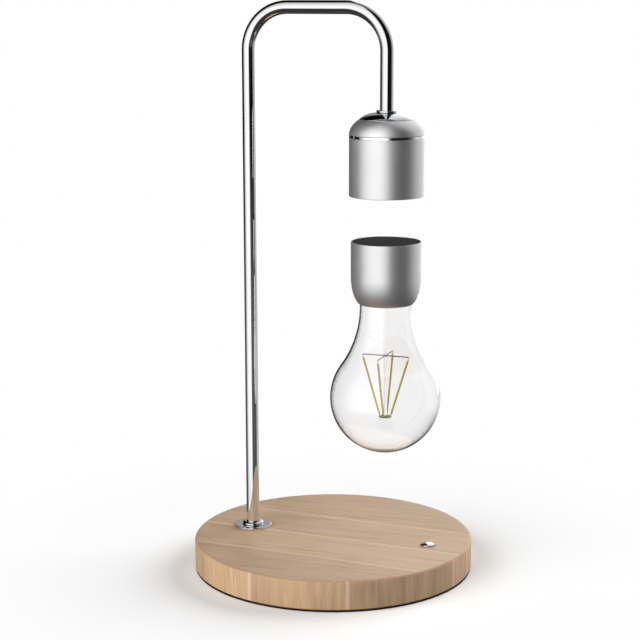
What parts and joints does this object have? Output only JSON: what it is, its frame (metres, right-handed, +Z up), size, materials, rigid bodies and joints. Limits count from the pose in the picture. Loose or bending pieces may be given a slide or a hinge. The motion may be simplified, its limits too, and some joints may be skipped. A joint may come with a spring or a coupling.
{
  "type": "levitating table lamp",
  "caption": "Table lamp with a round wooden base, a bright bent tube arch, an electromagnet head and a bulb that floats under it.",
  "frame": {"origin": "centre of the underside of the base, on the surface that the lamp stands on", "axes": "+Z up, +X from the foot of the pillar towards the bulb and the button, +Y by the right-hand rule"},
  "size_m": [0.17, 0.17, 0.3423],
  "materials": {
    "pale_oak": "satin",
    "black_rubber": "matte",
    "black_plastic": "satin",
    "satin_black": "satin",
    "chrome_plate": "polished",
    "satin_aluminium": "satin",
    "zinc_steel": "satin",
    "soft_iron": "satin",
    "enamelled_copper": "gloss",
    "circuit_board": "satin",
    "white_nylon": "satin",
    "grey_jacket": "matte",
    "clear_glass": "gloss",
    "filament_phosphor": "matte"
  },
  "bodies": {
    "stand": {"wooden_base": "pale_oak", "antislip_pad": "black_rubber", "base_cover": "black_plastic", "cover_screw_1": "zinc_steel", "cover_screw_2": "zinc_steel", "cover_screw_3": "zinc_steel", "cover_screw_4": "zinc_steel", "base_board": "circuit_board", "dc_jack": "black_plastic", "lead_socket": "white_nylon", "switch_board": "circuit_board", "switch_lead": "grey_jacket", "tact_switch": "black_plastic", "pillar_tube": "chrome_plate", "pillar_flange": "chrome_plate", "pillar_ferrule": "chrome_plate", "pillar_washer": "zinc_steel", "pillar_nut": "zinc_steel", "internal_lead": "grey_jacket", "head_sleeve": "satin_aluminium", "head_trim_ring": "chrome_plate", "head_dome": "satin_aluminium", "head_top_cap": "chrome_plate", "head_collar": "chrome_plate", "head_nut": "zinc_steel", "head_bottom_plate": "satin_black", "transmit_coil": "enamelled_copper", "sensor_board": "circuit_board", "electromagnet_core": "soft_iron", "electromagnet_bobbin": "white_nylon", "electromagnet_winding": "enamelled_copper", "head_board": "circuit_board", "head_socket": "white_nylon"},
    "button": {"button_cap": "chrome_plate", "button_clip": "zinc_steel", "switch_plunger": "white_nylon"},
    "magnet_carrier": {"levitation_magnet": "zinc_steel"},
    "bulb": {"cup_shell": "satin_aluminium", "cup_lid": "satin_black", "receive_coil": "enamelled_copper", "driver_board": "circuit_board", "neck_holder": "white_nylon", "lead_wire_a": "enamelled_copper", "lead_wire_b": "enamelled_copper", "glass_globe": "clear_glass", "glass_stem": "clear_glass", "filament_spider": "soft_iron", "filament_1": "filament_phosphor", "filament_2": "filament_phosphor", "filament_3": "filament_phosphor", "filament_4": "filament_phosphor", "filament_hub": "soft_iron"}
  },
  "joints": [
    {"name": "float_slide", "type": "slide", "parent": "stand", "child": "magnet_carrier", "axis": [0, 0, 1], "range_m": [-0.055, 0.026], "stiffness_N_per_m": 60, "springref_m": 0.0183},
    {"name": "bulb_spin", "type": "hinge", "parent": "magnet_carrier", "child": "bulb", "pos_m": [0.0333, 0, 0.1953], "axis": [0, 0, 1], "continuous": true},
    {"name": "button_press", "type": "slide", "parent": "stand", "child": "button", "axis": [0, 0, -1], "range_m": [0, 0.0008], "stiffness_N_per_m": 2500, "springref_m": -0.0002}
  ]
}
